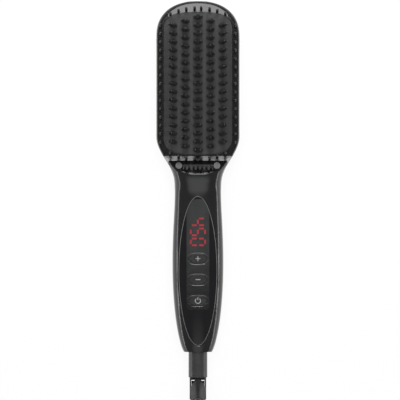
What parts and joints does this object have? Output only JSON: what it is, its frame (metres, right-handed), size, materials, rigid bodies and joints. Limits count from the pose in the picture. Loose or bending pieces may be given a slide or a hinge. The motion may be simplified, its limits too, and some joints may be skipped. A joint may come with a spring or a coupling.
{
  "type": "heated hair straightening brush",
  "caption": "Corded heated hair straightening brush: paddle head with capped teeth and guard bristles, oval control panel, and a folding swivel cord boot.",
  "frame": {"origin": "on the flat back, below the centre of the heating plate", "axes": "+Z the way the bristles point, +Y from the handle to the tip of the head, +X to the right as seen from the bristle side with the head up"},
  "size_m": [0.064, 0.3117, 0.0578],
  "materials": {
    "shell": "gloss black moulded plastic",
    "frame": "satin black moulded plastic",
    "bristle": "satin black nylon",
    "plate": "black ceramic coating on aluminium",
    "fin": "bare cast aluminium",
    "cap": "satin black heat-proof plastic",
    "silicone": "black silicone rubber",
    "ceramic": "white ceramic heater strip",
    "spring_steel": "plain steel sheet",
    "mica": "pressed mica sheet",
    "carrier": "glass-filled brown-black plastic",
    "screw": "zinc-plated steel",
    "sensor_glass": "amber glass bead",
    "fuse_metal": "tinned metal can",
    "heater_lead": "black silicone insulation",
    "white_lead": "white silicone insulation",
    "brown_lead": "brown insulation",
    "grille": "satin black plastic",
    "emitter": "mid-grey plastic with a fine needle",
    "potted_block": "dark blue potted module",
    "panel": "deep gloss black plastic",
    "window": "smoked dark grey plastic",
    "digits": "red lit bars",
    "display_body": "light grey display block",
    "board": "green laminate",
    "switch": "black switch body",
    "component": "moulded electronic components",
    "button": "dark grey plastic with a light mark",
    "contact_holder": "natural moulded plastic",
    "contact_brass": "plain brass",
    "swivel": "satin black plastic",
    "pin_steel": "plain steel",
    "boot": "satin black rubbery plastic"
  },
  "bodies": {
    "body": {"rear_cover": "shell", "front_cover": "shell", "guard_frame": "frame", "guard_bristles": "bristle", "heating_plate": "plate", "tooth_fins": "fin", "tooth_caps": "cap", "plate_gasket": "silicone", "heater_strips": "ceramic", "heater_clamp": "spring_steel", "insulation_sheet": "mica", "plate_carrier": "carrier", "carrier_screws": "screw", "thermistor": "sensor_glass", "thermal_fuse": "fuse_metal", "heater_leads": "heater_lead", "vent_grille": "grille", "ion_emitters": "emitter", "ion_generator": "potted_block", "ion_leads": "white_lead", "control_panel": "panel", "display_window": "window", "digit_segments": "digits", "led_display": "display_body", "main_board": "board", "board_screws": "screw", "tact_switches": "switch", "power_parts": "component", "handle_screws": "screw", "contact_block": "contact_holder", "contact_springs": "contact_brass", "mains_leads": "brown_lead"},
    "button_plus": {"button_plus": "button"},
    "button_minus": {"button_minus": "button"},
    "button_power": {"button_power": "button"},
    "swivel": {"swivel_barrel": "swivel", "slip_rings": "contact_brass", "pivot_pin": "pin_steel"},
    "boot": {"cord_boot": "boot"}
  },
  "joints": [
    {"name": "press_plus", "type": "slide", "parent": "body", "child": "button_plus", "axis": [0, 0, -1], "range_m": [0, 0.0006], "stiffness_N_per_m": 600, "springref_m": -0.0005},
    {"name": "press_minus", "type": "slide", "parent": "body", "child": "button_minus", "axis": [0, 0, -1], "range_m": [0, 0.0006], "stiffness_N_per_m": 600, "springref_m": -0.0005},
    {"name": "press_power", "type": "slide", "parent": "body", "child": "button_power", "axis": [0, 0, -1], "range_m": [0, 0.0006], "stiffness_N_per_m": 600, "springref_m": -0.0005},
    {"name": "swivel_turn", "type": "hinge", "parent": "body", "child": "swivel", "pos_m": [0, -0.2056, 0.0135], "axis": [0, 1, 0], "continuous": true},
    {"name": "boot_fold", "type": "hinge", "parent": "swivel", "child": "boot", "pos_m": [0, -0.2331, 0.0143], "axis": [1, 0, 0], "range_deg": [0, 75.5]}
  ]
}
